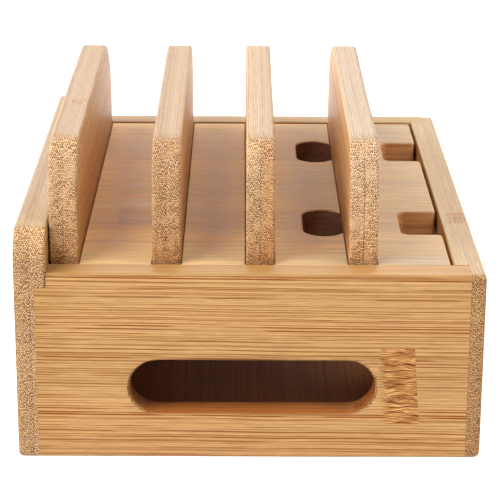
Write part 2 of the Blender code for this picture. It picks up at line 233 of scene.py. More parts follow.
def outlineRings(corners, insets, arcSteps):
    # Each corner moves to where its two edges meet once both are inset. Its round shrinks by the larger inset on an
    # outer corner, and grows by the smaller one on an inner corner. The ring runs round each corner's arc, with one
    # more point on the straight at both ends of it.
    place = np.array([corner[:2] for corner in corners], float)
    radius = np.array([corner[2] for corner in corners], float)
    onward = np.roll(place, -1, axis=0) - place
    length = np.linalg.norm(onward, axis=1)
    onward = onward / length[:, None]
    inward = np.roll(onward, 1, axis=0)
    normalIn = np.stack((inward[:, 1], -inward[:, 0]), axis=1)
    normalOut = np.stack((onward[:, 1], -onward[:, 0]), axis=1)
    cross = inward[:, 0] * onward[:, 1] - inward[:, 1] * onward[:, 0]
    along = (inward * onward).sum(1)
    turn = np.arctan2(cross, along)
    outer = turn > 0
    insetOut = np.asarray(insets, float)
    insetIn = np.roll(insetOut, 1, axis=1)
    shift = np.stack((
        (normalIn[:, 1] * insetOut - normalOut[:, 1] * insetIn) / cross,
        (normalOut[:, 0] * insetIn - normalIn[:, 0] * insetOut) / cross), axis=-1)
    shrunk = np.maximum(radius - np.maximum(insetIn, insetOut), finish["crispRound"])
    round_ = np.where(outer, shrunk, radius + np.minimum(insetIn, insetOut))
    side = np.where(outer, 1.0, -1.0)
    bisector = (normalIn + normalOut) / (1 + along)[:, None]
    centre = place + shift - side[:, None] * bisector * round_[..., None]
    angle = np.arctan2(normalIn[:, 1], normalIn[:, 0])[:, None] + turn[:, None] * np.linspace(0, 1, arcSteps + 1)
    arc = np.stack((np.cos(angle), np.sin(angle)), axis=-1)
    arc = centre[:, :, None, :] + side[:, None, None] * round_[..., None, None] * arc
    tangent = radius * np.tan(np.abs(turn) / 2)
    straight = length - tangent - np.roll(tangent, -1)
    after = np.minimum(finish["support"], finish["supportShare"] * np.maximum(straight, 0))
    before = np.roll(after, 1)
    first = arc[:, :, :1] - (inward * before[:, None])[None, :, None]
    last = arc[:, :, -1:] + (onward * after[:, None])[None, :, None]
    return np.concatenate((first, arc, last), axis=2).reshape(len(insetOut), -1, 2)


def roundDepths(rounds):
    # Depths below a face at which its edge rounds are drawn: evenly spaced angles on each round that is used
    sizes = sorted(set(rounds))
    turn = np.linspace(0, math.pi / 2, finish["edgeSteps"] + 1)[1:]
    depths = sorted(set(np.round(np.concatenate([size * (1 - np.cos(turn)) for size in sizes]), 8)))
    kept = [depths[0]]
    for depth in depths[1:]:
        if depth - kept[-1] > finish["leastStep"] or depth == depths[-1]:
            kept.append(depth)
    return np.array(kept)


def roundInset(rounds, depths):
    # How far a round has pulled its edge in at a depth: its radius, less the square root of what its radius
    # squared has over the rest of the way down squared
    rest = np.maximum(np.asarray(rounds)[None, :] - depths[:, None], 0)
    return rounds - np.sqrt(np.maximum(np.asarray(rounds)[None, :] ** 2 - rest ** 2, 0))


def faceRings(loops, side, arcSteps):
    # The rings of one face, from a strip on its flat to just past its rounds
    every = [edge for loop in loops for edge in loop[side]]
    depths = roundDepths(every)
    rings = []
    for loop in loops:
        rounds = np.array(loop[side], float)
        inset = np.vstack((rounds + finish["support"], rounds, roundInset(rounds, depths),
                           np.zeros_like(rounds)))
        rings.append(outlineRings(loop["corners"], inset, arcSteps))
    return rings, np.concatenate(([0.0, 0.0], depths, [depths[-1] + finish["support"]]))


def cap(loopRings, firsts, upward):
    # A flat cap between the outer ring and the holes' rings, in triangles
    flat = [[Vector((u * 1000, v * 1000, 0)) for u, v in ring] for ring in loopRings]  # in millimetres
    index = np.concatenate([first + np.arange(len(ring)) for first, ring in zip(firsts, loopRings)])
    places = np.concatenate(loopRings)
    triangles = np.array(tessellate_polygon(flat))
    corner = places[triangles]
    area = ((corner[:, 1, 0] - corner[:, 0, 0]) * (corner[:, 2, 1] - corner[:, 0, 1])
            - (corner[:, 1, 1] - corner[:, 0, 1]) * (corner[:, 2, 0] - corner[:, 0, 0]))
    wrong = (area > 0) != upward
    triangles[wrong] = triangles[wrong][:, ::-1]
    return index[triangles[area != 0]]


def makeBoard(name, loops, axes, low, high, arcSteps):
    # A board is a stack of outlines along its thickness. Near each face the outline is inset by its edges' rounds.
    frontRings, frontDepths = faceRings(loops, "front", arcSteps)
    backRings, backDepths = faceRings(loops, "back", arcSteps)
    level = np.concatenate((low + frontDepths, high - backDepths[::-1]))
    points, quads, firsts, ringSizes = [], [], [], []
    start = 0
    for front, back in zip(frontRings, backRings):
        rings = np.concatenate((front, back[::-1]))
        count = rings.shape[1]
        placed = np.zeros(rings.shape[:2] + (3,))
        placed[..., axes[0]] = rings[..., 0]
        placed[..., axes[1]] = rings[..., 1]
        placed[..., axes[2]] = level[:, None]
        ring, spot = np.meshgrid(np.arange(len(rings) - 1), np.arange(count), indexing="ij")
        here = start + ring * count + spot
        following = start + ring * count + (spot + 1) % count
        quads.append(np.stack((here, following, following + count, here + count), axis=-1).reshape(-1, 4))
        points.append(placed.reshape(-1, 3))
        firsts.append(start)
        ringSizes.append(count)
        start += rings.shape[0] * count
    lowCap = cap([rings[0] for rings in frontRings], firsts, False)
    lastRing = len(level) - 1
    highCap = cap([rings[0] for rings in backRings],
                  [first + lastRing * size for first, size in zip(firsts, ringSizes)], True)
    faces = np.concatenate(quads).tolist() + lowCap.tolist() + highCap.tolist()
    if axes in ((0, 2, 1), (2, 1, 0), (1, 0, 2)):  # a left-handed order of axes turns the faces round
        faces = [face[::-1] for face in faces]
    mesh = bpy.data.meshes.new(name)
    mesh.from_pydata(np.concatenate(points).tolist(), [], faces)
    mesh.shade_smooth()
    return stand(name, mesh)


def boxShape(low, high):
    # The eight corners of a box and its six faces
    corner = np.array([(x, y, z) for x in (0, 1) for y in (0, 1) for z in (0, 1)], float)
    low, high = np.array(low), np.array(high)
    faces = [(0, 1, 3, 2), (4, 6, 7, 5), (0, 4, 5, 1), (2, 3, 7, 6), (0, 2, 6, 4), (1, 5, 7, 3)]
    return low + corner * (high - low), faces


def turnedShape(centre, profile, sides):
    # Rings of the profile's radius at its height, with a flat fan at each end
    angle = np.linspace(0, 2 * math.pi, sides, endpoint=False)
    radius, height = np.array(profile).T
    points = np.zeros((len(profile), sides, 3))
    points[..., 0] = centre[0] + radius[:, None] * np.cos(angle)
    points[..., 1] = centre[1] + radius[:, None] * np.sin(angle)
    points[..., 2] = centre[2] + height[:, None]
    faces = []
    for ring in range(len(profile) - 1):
        here = ring * sides + np.arange(sides)
        following = ring * sides + (np.arange(sides) + 1) % sides
        faces += np.stack((here, following, following + sides, here + sides), axis=1).tolist()
    faces.append(list(range(sides))[::-1])
    faces.append(list(range((len(profile) - 1) * sides, len(profile) * sides)))
    return points.reshape(-1, 3), faces


def carve(piece, shapes):
    # Cuts closed shapes out of a piece, and marks the new corners as sharp
    points, faces, start = [], [], 0
    for shapePoints, shapeFaces in shapes:
        points.append(np.array(shapePoints))
        faces += [[start + index for index in face] for face in shapeFaces]
        start += len(shapePoints)
    mesh = bpy.data.meshes.new("cutter")
    mesh.from_pydata(np.concatenate(points).tolist(), [], faces)
    cutter = stand("cutter", mesh)
    tool = piece.modifiers.new("carve", "BOOLEAN")
    tool.operation = "DIFFERENCE"
    tool.solver = "EXACT"
    tool.object = cutter
    bpy.context.view_layer.update()
    carved = bpy.data.meshes.new_from_object(piece.evaluated_get(bpy.context.evaluated_depsgraph_get()))
    piece.modifiers.clear()
    piece.data = carved
    carved.name = piece.name
    carved.set_sharp_from_angle(angle=math.radians(finish["sharpAngle"]))
    bpy.data.objects.remove(cutter, do_unlink=True)


def blendColour(tree, share, first, second, kind="MIX"):
    node = addNode(tree, "ShaderNodeMix", data_type="RGBA", blend_type=kind)
    feed(tree, node.inputs[0], share)
    feed(tree, node.inputs[6], first)
    feed(tree, node.inputs[7], second)
    return node.outputs[2]


def tinted(tree, share, colour, factors):
    # Multiplies the colour by three factors where share is 1
    return blendColour(tree, share, colour, blendColour(tree, 1.0, colour, factors + (1.0,), "MULTIPLY"))


def joinVector(tree, x, y, z):
    node = addNode(tree, "ShaderNodeCombineXYZ")
    for socket, value in zip(node.inputs, (x, y, z)):
        feed(tree, socket, value)
    return node.outputs[0]


def cloud(tree, vector, detail=2.0, roughness=0.5):
    node = addNode(tree, "ShaderNodeTexNoise")
    node.inputs["Scale"].default_value = 1.0
    node.inputs["Detail"].default_value = detail
    node.inputs["Roughness"].default_value = roughness
    tree.links.new(vector, node.inputs["Vector"])
    return node.outputs["Fac"], node.outputs["Color"]


def stretched(tree, places, rates):
    # A cloud's vector: the places along, across and through the board, each times its own rate
    return joinVector(tree, *(calc(tree, "MULTIPLY", place, rate) for place, rate in zip(places, rates)))


lineShape = {
    "unevenness": 0.8,
    "leastWidth": 0.5,          # of the line's radius, to which its own draw adds up to one more
    "softness": 0.3,            # of the radius
    "drawRate": 90.0,           # sets apart where the single lines come and go
    "fadeRange": (0.34, 0.5),
    "faintest": 0.3,
}


def grainLines(tree, g, place, spacing, radius, weakest, rate):
    # Dark lines along the grain, unevenly spaced. Each has its own width and strength, and comes and goes.
    lines = addNode(tree, "ShaderNodeTexVoronoi", voronoi_dimensions="1D", feature="F1")
    lines.inputs["Scale"].default_value = 1 / spacing
    lines.inputs["Randomness"].default_value = lineShape["unevenness"]
    tree.links.new(place, lines.inputs["W"])
    perLine = separate(tree, "Color", lines.outputs["Color"])
    share = radius / spacing
    soft = share * lineShape["softness"]
    reach = calc(tree, "MULTIPLY_ADD", perLine[0], share, share * lineShape["leastWidth"])
    shape = ease(tree, calc(tree, "SUBTRACT", lines.outputs["Distance"], reach), soft, -soft)
    fadeVector = joinVector(tree, calc(tree, "MULTIPLY", g, rate),
                            calc(tree, "MULTIPLY", perLine[1], lineShape["drawRate"]), 0.0)
    fade = ease(tree, cloud(tree, fadeVector, 1.0)[0], *lineShape["fadeRange"], lineShape["faintest"], 1.0)
    return calc(tree, "MULTIPLY", calc(tree, "MULTIPLY", shape, fade),
                ease(tree, perLine[2], 0.0, 1.0, weakest, 1.0))


# Bamboo: a solid pattern of fibre bundles along the grain. Cut across they are dots, cut along they are lines.
bamboo = {
    "pale": (190, 151, 102),
    "warm": (186, 146, 94),
    "pink": (189, 144, 99),
    "streak": (124, 58, 2),
    "endPale": (213, 175, 129),
    "endWarm": (204, 162, 115),
    "endDot": (70, 22, 0),
    # painted light on faces that look up: paler and greyer as a sheen, or darker as a shade, by each board's factors
    "topTint": (0.84, 1.1, 1.78),
    "topStreak": 0.38,
    "cuts": [],                 # painted shade and light on the faces inside openings, in a range along and across the grain: (low, high, low, high, tint)
    "bundleSpacing": 0.0007,    # metres
    "bundleRadius": 0.00026,
    "bundleSoftness": 0.00002,
    "bundleScatter": 0.5,
    "bundleTurn": 0.6,          # radians that the rows of bundles are turned by
    "dotStrength": 1.0,
    "faintDots": 0.6,           # strength in the patches where the dots are faint
    "patchRates": (30.0, 260.0, 330.0),   # of those patches along, across and through, in a metre
    "patchRange": (0.36, 0.56),
    "dotSizes": (0.88, 0.24),   # the smallest dot's share of the radius, and what its own draw adds
    "topDots": 0.85,            # share of their size that dots keep where the end grain turns upward
    "dotDraw": 0.88,            # strength of the palest bundle
    "innerDots": 0.85,          # strength at the inner side of each cane
    "streakSpacing": 0.00115,
    "streakRadius": 0.00015,
    "streakStrength": 1.0,
    "streakWeakest": 0.5,
    "hairSpacing": 0.00075,
    "hairRadius": 0.00014,
    "hairStrength": 0.7,
    "hairWeakest": 0.2,
    "lineRate": 30.0,           # how often a line comes and goes, in a metre
    "fineStrength": 0.12,
    "fineWidth": 0.00042,
    "fineLength": 0.0077,
    "wander": 0.0014,
    "wanderRates": (18.0, 60.0, 60.0),
    "wanderThrough": 0.12,      # share of the wandering that goes through the board
    "stripDraw": 37.0,          # sets each strip's bundles apart from the next one's
    "cloudDraw": 9.0,           # the same for its clouds
    "plyDraw": 0.37,            # the same for its lines
    "slope": 0.0,               # lean of the grain
    "bandWidth": 0.0014,
    "bandRate": 7.0,
    "warmRange": (0.36, 0.64),  # where a band turns from pale to warm
    "endWarmRange": (0.35, 0.65),
    "pinkRange": (0.45, 0.7),
    "pinkStrength": 0.7,
    "stripWidth": 0.021,
    "stripContrast": 0.05,
    "stripTints": [],           # colour of each strip by itself: (where it starts, colour factors)
    "faceDrifts": [],           # slow changes of colour, for the board's own tone and for painted light and shade: ("along", "across" or "through", start, stop, factors)
    "endDrifts": [],            # the same for the end grain
    "plyThickness": 0.0052,
    "glueWidth": 0.0003,
    "glueStrength": 0.25,
    "topGlue": 0.3,             # share of it on faces that look up
    "roughness": 0.46,
    "specular": 0.06,
    "topSpecular": 0.06,
    "endSpecular": 0.06,
    "roughRange": (-0.06, 0.08),
    "relief": 0.00002,
    "reliefStrength": 0.6,
    "streakRelief": 0.5,
    "brightness": 1.0,
    "shift": (0.0, 0.0, 0.0),
    "joints": [],               # marks of a cane's joints, as jointMark describes them
    "jointStrength": 0.9,
    "upward": (0.5, 0.95),      # how far a face looks up, from where it counts as a top to where it is one
    "endward": (0.12, 0.42),    # the same for the end grain
}
# Each mark of a joint is given by where it is along the grain, its lowest and highest place across and through the
# board, its half length and its lean
jointMark = {
    "dark": (88, 34, 0),
    "middle": (168, 114, 62),
    "bright": (222, 176, 116),
    "darkRange": (0.4, 0.5),
    "brightRange": (0.56, 0.66),
    "raggedness": 0.01,
    "raggedEdge": 0.0006,
    "plainEdge": 0.0002,
    "sideEdge": 0.0003,
    "waveRates": (200.0, 300.0, 0.0),
    "waveHeight": 0.0018,
    "shortRates": (150.0, 2900.0, 2900.0),
}
softEdge = {
    "cut": 0.0001,              # metres over which the painted light and shade inside an opening comes in
    "strip": 0.0004,
    "cutFacing": (0.6, 0.2),    # how far a face may look through the board and still count as inside an opening
    "glue": 0.3,                # of the glue line's half width
}


def makeBamboo(name, grain, across, through, **changes):
    look = dict(bamboo, **changes)
    material, tree, shader, coordinate = startMaterial(name)
    split = separate(tree, "XYZ", coordinate["Object"])
    facing = separate(tree, "XYZ", coordinate["Normal"])
    order = {"x": 0, "y": 1, "z": 2}
    along = split[order[grain]]
    g = calc(tree, "ADD", along, look["shift"][0])
    a = split[order[across]]
    b = split[order[through]]
    ways = {"along": along, "across": a, "through": b}

    # Strips across the board and plies through it, each with a tone of its own
    strip = calc(tree, "FLOOR", calc(tree, "DIVIDE", calc(tree, "ADD", a, look["shift"][1] + 1.0),
                                     look["stripWidth"]))
    depth = calc(tree, "DIVIDE", calc(tree, "ADD", b, look["shift"][2] + look["plyThickness"] * 100),
                 look["plyThickness"])
    ply = calc(tree, "FLOOR", depth)
    skin = calc(tree, "FRACT", depth)
    dice = addNode(tree, "ShaderNodeTexWhiteNoise", noise_dimensions="3D")
    tree.links.new(joinVector(tree, strip, ply, look["shift"][0] * 100), dice.inputs["Vector"])
    own = separate(tree, "Color", dice.outputs["Color"])

    # Slow wandering of the bundles along the grain
    slow = stretched(tree, (g, a, b), look["wanderRates"])
    wander = separate(tree, "Color", cloud(tree, slow, 1.0)[1])
    aBent = calc(tree, "MULTIPLY_ADD", wander[0], look["wander"],
                 calc(tree, "MULTIPLY_ADD", along, look["slope"], a))
    bBent = calc(tree, "MULTIPLY_ADD", wander[1], look["wander"] * look["wanderThrough"], b)
    turnCos = math.cos(look["bundleTurn"]) / look["bundleSpacing"]
    turnSin = math.sin(look["bundleTurn"]) / look["bundleSpacing"]
    aCell = calc(tree, "SUBTRACT", calc(tree, "MULTIPLY", aBent, turnCos), calc(tree, "MULTIPLY", bBent, turnSin))
    bCell = calc(tree, "ADD", calc(tree, "MULTIPLY", aBent, turnSin), calc(tree, "MULTIPLY", bBent, turnCos))
    aCell = calc(tree, "MULTIPLY_ADD", own[0], look["stripDraw"], aCell)
    bCell = calc(tree, "MULTIPLY_ADD", own[1], look["stripDraw"], bCell)

    # Each bundle has six neighbours: the square cells of the Voronoi pattern are slanted
    cells = addNode(tree, "ShaderNodeTexVoronoi", voronoi_dimensions="2D", feature="F1")
    cells.inputs["Scale"].default_value = 1.0
    cells.inputs["Randomness"].default_value = look["bundleScatter"]
    aSlant = calc(tree, "MULTIPLY_ADD", bCell, -1 / math.sqrt(3), aCell)
    bSlant = calc(tree, "MULTIPLY", bCell, 2 / math.sqrt(3))
    tree.links.new(joinVector(tree, aSlant, bSlant, 0.0), cells.inputs["Vector"])
    nearest = separate(tree, "XYZ", cells.outputs["Position"])
    aOff = calc(tree, "SUBTRACT", aSlant, nearest[0])
    bOff = calc(tree, "SUBTRACT", bSlant, nearest[1])
    offCentre = calc(tree, "SQRT", calc(tree, "MULTIPLY_ADD", aOff, calc(tree, "ADD", aOff, bOff),
                                        calc(tree, "MULTIPLY", bOff, bOff)))
    perCell = separate(tree, "Color", cells.outputs["Color"])
    soft = look["bundleSoftness"] / look["bundleSpacing"]
    smallest, drawn = look["dotSizes"]
    spread = calc(tree, "MULTIPLY_ADD", perCell[0], drawn, smallest)
    spread = calc(tree, "MULTIPLY", spread, ease(tree, facing[2], 0.05, 0.6, 1.0, look["topDots"]))
    reach = calc(tree, "MULTIPLY", spread, look["bundleRadius"] / look["bundleSpacing"])
    dotShape = ease(tree, calc(tree, "SUBTRACT", offCentre, reach), soft, -soft)

    # Fine fibres and broad bands, drawn out along the grain
    def drawnOut(lengthwise, draw, width):
        sideways = calc(tree, "MULTIPLY_ADD", draw, look["cloudDraw"], calc(tree, "DIVIDE", aBent, width))
        return cloud(tree, joinVector(tree, lengthwise, sideways, calc(tree, "DIVIDE", bBent, width)), 2.0, 0.6)

    fine = drawnOut(calc(tree, "DIVIDE", g, look["fineLength"]), own[0], look["fineWidth"])[0]
    band, bandColour = drawnOut(calc(tree, "MULTIPLY", g, look["bandRate"]), own[1], look["bandWidth"])
    hue = separate(tree, "Color", bandColour)

    faceColour = blendColour(tree, ease(tree, band, *look["warmRange"]), linear(look["pale"]), linear(look["warm"]))
    pinkShare = ease(tree, hue[1], *look["pinkRange"], 0.0, look["pinkStrength"])
    faceColour = blendColour(tree, pinkShare, faceColour, linear(look["pink"]))
    fineLight = ease(tree, fine, 0.3, 0.7, 1 - look["fineStrength"], 1 + look["fineStrength"])
    faceColour = blendColour(tree, 1.0, faceColour, joinVector(tree, fineLight, fineLight, fineLight), "MULTIPLY")
    toTop = ease(tree, facing[2], *look["upward"])
    # Faces that look up take painted light: the factors make a top paler and greyer as a sheen, or darker as a shade
    faceColour = tinted(tree, toTop, faceColour, look["topTint"])
    linePlace = calc(tree, "MULTIPLY_ADD", own[0], look["plyDraw"], calc(tree, "ADD", aBent, bBent))
    streak = grainLines(tree, g, linePlace, look["streakSpacing"], look["streakRadius"], look["streakWeakest"],
                        look["lineRate"])
    hair = grainLines(tree, g, linePlace, look["hairSpacing"], look["hairRadius"], look["hairWeakest"],
                      look["lineRate"])
    lines = calc(tree, "MAXIMUM", calc(tree, "MULTIPLY", streak, look["streakStrength"]),
                 calc(tree, "MULTIPLY", hair, look["hairStrength"]))
    lines = calc(tree, "MULTIPLY", lines, calc(tree, "MULTIPLY_ADD", toTop, look["topStreak"] - 1.0, 1.0))
    faceColour = blendColour(tree, lines, faceColour, linear(look["streak"]))

    # Toward the outer side of each cane the bundles are darker
    endColour = blendColour(tree, ease(tree, band, *look["endWarmRange"]), linear(look["endPale"]),
                            linear(look["endWarm"]))
    patches = cloud(tree, stretched(tree, (g, a, b), look["patchRates"]), 1.0)[0]
    dotShare = calc(tree, "MULTIPLY", dotShape, ease(tree, perCell[1], 0.0, 1.0, look["dotDraw"], 1.0))
    dotShare = calc(tree, "MULTIPLY", dotShare, ease(tree, skin, 0.0, 1.0, look["innerDots"], 1.0))
    dotShare = calc(tree, "MULTIPLY", dotShare, ease(tree, patches, *look["patchRange"], look["faintDots"], 1.0))
    endColour = blendColour(tree, calc(tree, "MULTIPLY", dotShare, look["dotStrength"]), endColour,
                            linear(look["endDot"]))

    # Marks where a joint of the cane was: short wavy streaks with bright gaps
    for centre, lowAcross, highAcross, lowThrough, highThrough, halfLength, lean in look["joints"]:
        first, last = centre - halfLength, centre + halfLength
        edge = calc(tree, "MULTIPLY_ADD", calc(tree, "SUBTRACT", a, (lowAcross + highAcross) / 2), lean, along)
        ragged = calc(tree, "MULTIPLY_ADD", calc(tree, "SUBTRACT", fine, 0.5), jointMark["raggedness"], edge)
        rough, plain, side = jointMark["raggedEdge"], jointMark["plainEdge"], jointMark["sideEdge"]
        inLength = calc(tree, "MULTIPLY", ease(tree, ragged, first - rough, first + rough),
                        ease(tree, edge, last + plain, last - plain))
        inWidth = calc(tree, "MULTIPLY", ease(tree, a, lowAcross - side, lowAcross + side),
                       ease(tree, a, highAcross + side, highAcross - side))
        inDepth = calc(tree, "MULTIPLY", ease(tree, b, lowThrough - side, lowThrough + side),
                       ease(tree, b, highThrough + side, highThrough - side))
        mark = calc(tree, "MULTIPLY", calc(tree, "MULTIPLY", inLength, inWidth), inDepth)
        waves = cloud(tree, stretched(tree, (g, a, b), jointMark["waveRates"]), 1.0)[0]
        wavy = calc(tree, "MULTIPLY_ADD", waves, jointMark["waveHeight"], a)
        short = cloud(tree, stretched(tree, (g, wavy, b), jointMark["shortRates"]), 2.0, 0.6)[0]
        broken = blendColour(tree, ease(tree, short, *jointMark["darkRange"]), linear(jointMark["dark"]),
                             linear(jointMark["middle"]))
        broken = blendColour(tree, ease(tree, short, *jointMark["brightRange"]), broken,
                             linear(jointMark["bright"]))
        faceColour = blendColour(tree, calc(tree, "MULTIPLY", mark, look["jointStrength"]), faceColour, broken)

    # Slow drifts of colour: the board's own tone, and painted sheen and shade on the lid and the dividers
    for way, start, stop, tint in look["faceDrifts"]:
        faceColour = tinted(tree, ease(tree, ways[way], start, stop), faceColour, tint)
    for way, start, stop, tint in look["endDrifts"]:
        endColour = tinted(tree, ease(tree, ways[way], start, stop), endColour, tint)
    toEnd = ease(tree, calc(tree, "ABSOLUTE", facing[order[grain]]), *look["endward"])
    colour = blendColour(tree, toEnd, faceColour, endColour)

    # Painted shade and light on the faces inside openings, and strips that have a colour of their own
    for lowAlong, highAlong, lowAcross, highAcross, tint in look["cuts"]:
        cut = ease(tree, calc(tree, "ABSOLUTE", facing[order[through]]), *softEdge["cutFacing"])
        for spot, low, high in ((along, lowAlong, highAlong), (a, lowAcross, highAcross)):
            cut = calc(tree, "MULTIPLY", cut, ease(tree, spot, low - softEdge["cut"], low))
            cut = calc(tree, "MULTIPLY", cut, ease(tree, spot, high + softEdge["cut"], high))
        colour = tinted(tree, cut, colour, tint)
    for start, tint in look["stripTints"]:
        stop = start + look["stripWidth"]
        within = calc(tree, "MULTIPLY", ease(tree, a, start, start + softEdge["strip"]),
                      ease(tree, a, stop + softEdge["strip"], stop))
        colour = tinted(tree, within, colour, tint)
    tone = ease(tree, own[2], 0.0, 1.0, look["brightness"] - look["stripContrast"],
                look["brightness"] + look["stripContrast"])
    glueShare = look["glueWidth"] / look["plyThickness"] / 2
    glue = calc(tree, "MULTIPLY", ease(tree, calc(tree, "ABSOLUTE", calc(tree, "SUBTRACT", skin, 0.5)),
                                       0.5 - glueShare * (1 + softEdge["glue"]),
                                       0.5 - glueShare * (1 - softEdge["glue"])), look["glueStrength"])
    glue = calc(tree, "MULTIPLY", glue, calc(tree, "MULTIPLY_ADD", toTop, look["topGlue"] - 1.0, 1.0))
    tone = calc(tree, "SUBTRACT", tone, glue)
    colour = blendColour(tree, 1.0, colour, joinVector(tree, tone, tone, tone), "MULTIPLY")
    tree.links.new(colour, shader.inputs["Base Color"])
    shader.inputs["Specular IOR Level"].default_value = look["specular"]
    if look["specular"] != look["endSpecular"] or look["specular"] != look["topSpecular"]:
        level = calc(tree, "MULTIPLY_ADD", toTop, look["topSpecular"] - look["specular"], look["specular"])
        level = calc(tree, "MULTIPLY_ADD", toEnd, calc(tree, "SUBTRACT", look["endSpecular"], level), level)
        tree.links.new(level, shader.inputs["Specular IOR Level"])
    smoother, rougher = (look["roughness"] + change for change in look["roughRange"])
    tree.links.new(ease(tree, fine, 0.3, 0.7, smoother, rougher), shader.inputs["Roughness"])
    bump = addNode(tree, "ShaderNodeBump")
    bump.inputs["Strength"].default_value = look["reliefStrength"]
    bump.inputs["Distance"].default_value = look["relief"]
    height = calc(tree, "SUBTRACT", fine, calc(tree, "MULTIPLY", streak, look["streakRelief"]))
    tree.links.new(height, bump.inputs["Height"])
    tree.links.new(bump.outputs[0], shader.inputs["Normal"])
    return material


def settle(piece, material, body, node):
    # Gives a new piece its material and body, and lets it stand for its CAD node
    piece.data.materials.clear()
    piece.data.materials.append(material)
    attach(piece, body)
    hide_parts(node)


def span(node):
    low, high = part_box(node)
    return list(low), list(high)


# Shared places, read from the frame
tallLow, tallHigh = span("tall_side_wall")
lowLow, lowHigh = span("low_side_wall")
nearLow, nearHigh = span("near_end_wall")
lidLow, lidHigh = span("lid_board")
rim = nearHigh[2]
boxNear, boxFar = tallLow[1], tallHigh[1]


floorGroove = {
    "depth": 0.0035,
    "room": 0.0003,             # above and below the floor panel
    "reach": 0.1,               # from the middle to past either side wall
}


def grooveShape(lowX, lowY, highX, highY):
    # The floor panel's groove, as a box between two corners
    low, high = span("floor_panel")
    return boxShape((lowX, lowY, low[2] - floorGroove["room"]), (highX, highY, high[2] + floorGroove["room"]))


def rabbetShapes(lowX, highX, top):
    # The rabbets that take the end walls, as a box at each end of a side wall
    over, seam = finish["overrun"], finish["seam"]
    return [boxShape((lowX, low, -over), (highX, high, top))
            for low, high in ((boxNear - over, nearHigh[1] + seam), (-nearHigh[1] - seam, boxFar + over))]


tallWall = {
    "nearRound": 0.011,
    "farRound": 0.027,
    "footRound": 0.0006,
    "edge": 0.0010,
    "longEdge": 0.0020,
    "rabbetDepth": 0.0040,
    "rabbetTop": 0.0621,
    "arcSteps": 20,
}


def makeTallWall(look):
    foot = look["footRound"]
    corners = [(boxNear, 0, foot), (boxFar, 0, foot), (boxFar, tallHigh[2], look["farRound"]),
               (boxNear, tallHigh[2], look["nearRound"])]
    edge = look["edge"]
    loops = [{"corners": corners, "front": [look["longEdge"], edge, edge, edge],
              "back": [finish["hiddenEdge"], edge, edge, edge]}]
    wall = makeBoard("tallSideWall", loops, (1, 2, 0), tallLow[0], tallHigh[0], look["arcSteps"])
    over = finish["overrun"]
    carve(wall, rabbetShapes(tallHigh[0] - look["rabbetDepth"], tallHigh[0] + over, look["rabbetTop"]))
    carve(wall, [grooveShape(tallHigh[0] - floorGroove["depth"], boxNear - over, tallHigh[0] + over,
                             boxFar + over)])
    return wall


lowWall = {
    "topRound": 0.0022,
    "footRound": 0.0008,
    "edge": 0.0008,
    "longTopEdge": 0.0014,
    "longFootEdge": 0.0027,
    "innerTopEdge": 0.0005,
    "rabbetDepth": 0.0050,
    "arcSteps": 8,
}


def makeLowWall(look):
    foot, top = look["footRound"], look["topRound"]
    corners = [(boxNear, 0, foot), (boxFar, 0, foot), (boxFar, rim, top), (boxNear, rim, top)]
    hidden, over = finish["hiddenEdge"], finish["overrun"]
    loops = [{"corners": corners, "front": [hidden, hidden, look["innerTopEdge"], hidden],
              "back": [look["longFootEdge"], look["edge"], look["longTopEdge"], look["edge"]]}]
    wall = makeBoard("lowSideWall", loops, (1, 2, 0), lowLow[0], lowHigh[0], look["arcSteps"])
    carve(wall, rabbetShapes(lowLow[0] - over, lowLow[0] + look["rabbetDepth"], rim + over))
    carve(wall, [grooveShape(lowLow[0] - over, boxNear - over, lowLow[0] + floorGroove["depth"], boxFar + over)])
    return wall


endWall = {
    "topEdge": 0.0014,
    "footEdge": 0.0006,
    "innerTopEdge": 0.0006,
    "seamEdge": 0.00005,
    "slot": (-0.04125, 0.04325, 0.0162, 0.0358),   # left, right, bottom and top
    "slotEdge": 0.0011,
    "arcSteps": 12,
}


def holeCorners(left, right, low, high):
    # A round-ended hole: its corners run clockwise, each rounded by almost half of the shorter side
    nearlyHalf = 0.00001
    radius = min(right - left, high - low) / 2 - nearlyHalf
    return [(left, low, radius), (left, high, radius), (right, high, radius), (right, low, radius)]


def makeEndWall(name, look, outerY, innerY):
    seam = finish["seam"]
    tongue = tallHigh[0] - tallWall["rabbetDepth"] + seam
    right = lowLow[0] + lowWall["rabbetDepth"] - seam
    shoulder = tallWall["rabbetTop"] - seam
    sharp = finish["crispRound"]
    corners = [(tongue, 0, sharp), (right, 0, sharp), (right, rim, sharp), (tallHigh[0] + seam, rim, sharp),
               (tallHigh[0] + seam, shoulder, sharp), (tongue, shoulder, sharp)]
    thin = look["seamEdge"]
    outside = [look["footEdge"], thin, look["topEdge"], thin, thin, thin]
    inside = [finish["hiddenEdge"], thin, look["innerTopEdge"], thin, thin, thin]
    slotEdges = [look["slotEdge"]] * 4
    low, high = min(outerY, innerY), max(outerY, innerY)
    faces = (outside, inside) if outerY < innerY else (inside, outside)
    loops = [{"corners": corners, "front": faces[0], "back": faces[1]},
             {"corners": holeCorners(*look["slot"]), "front": slotEdges, "back": slotEdges}]
    wall = makeBoard(name, loops, (0, 2, 1), low, high, look["arcSteps"])
    inward = 1 if innerY > outerY else -1
    grooveYs = sorted((innerY - inward * floorGroove["depth"], innerY + inward * finish["overrun"]))
    carve(wall, [grooveShape(-floorGroove["reach"], grooveYs[0], floorGroove["reach"], grooveYs[1])])
    return wall


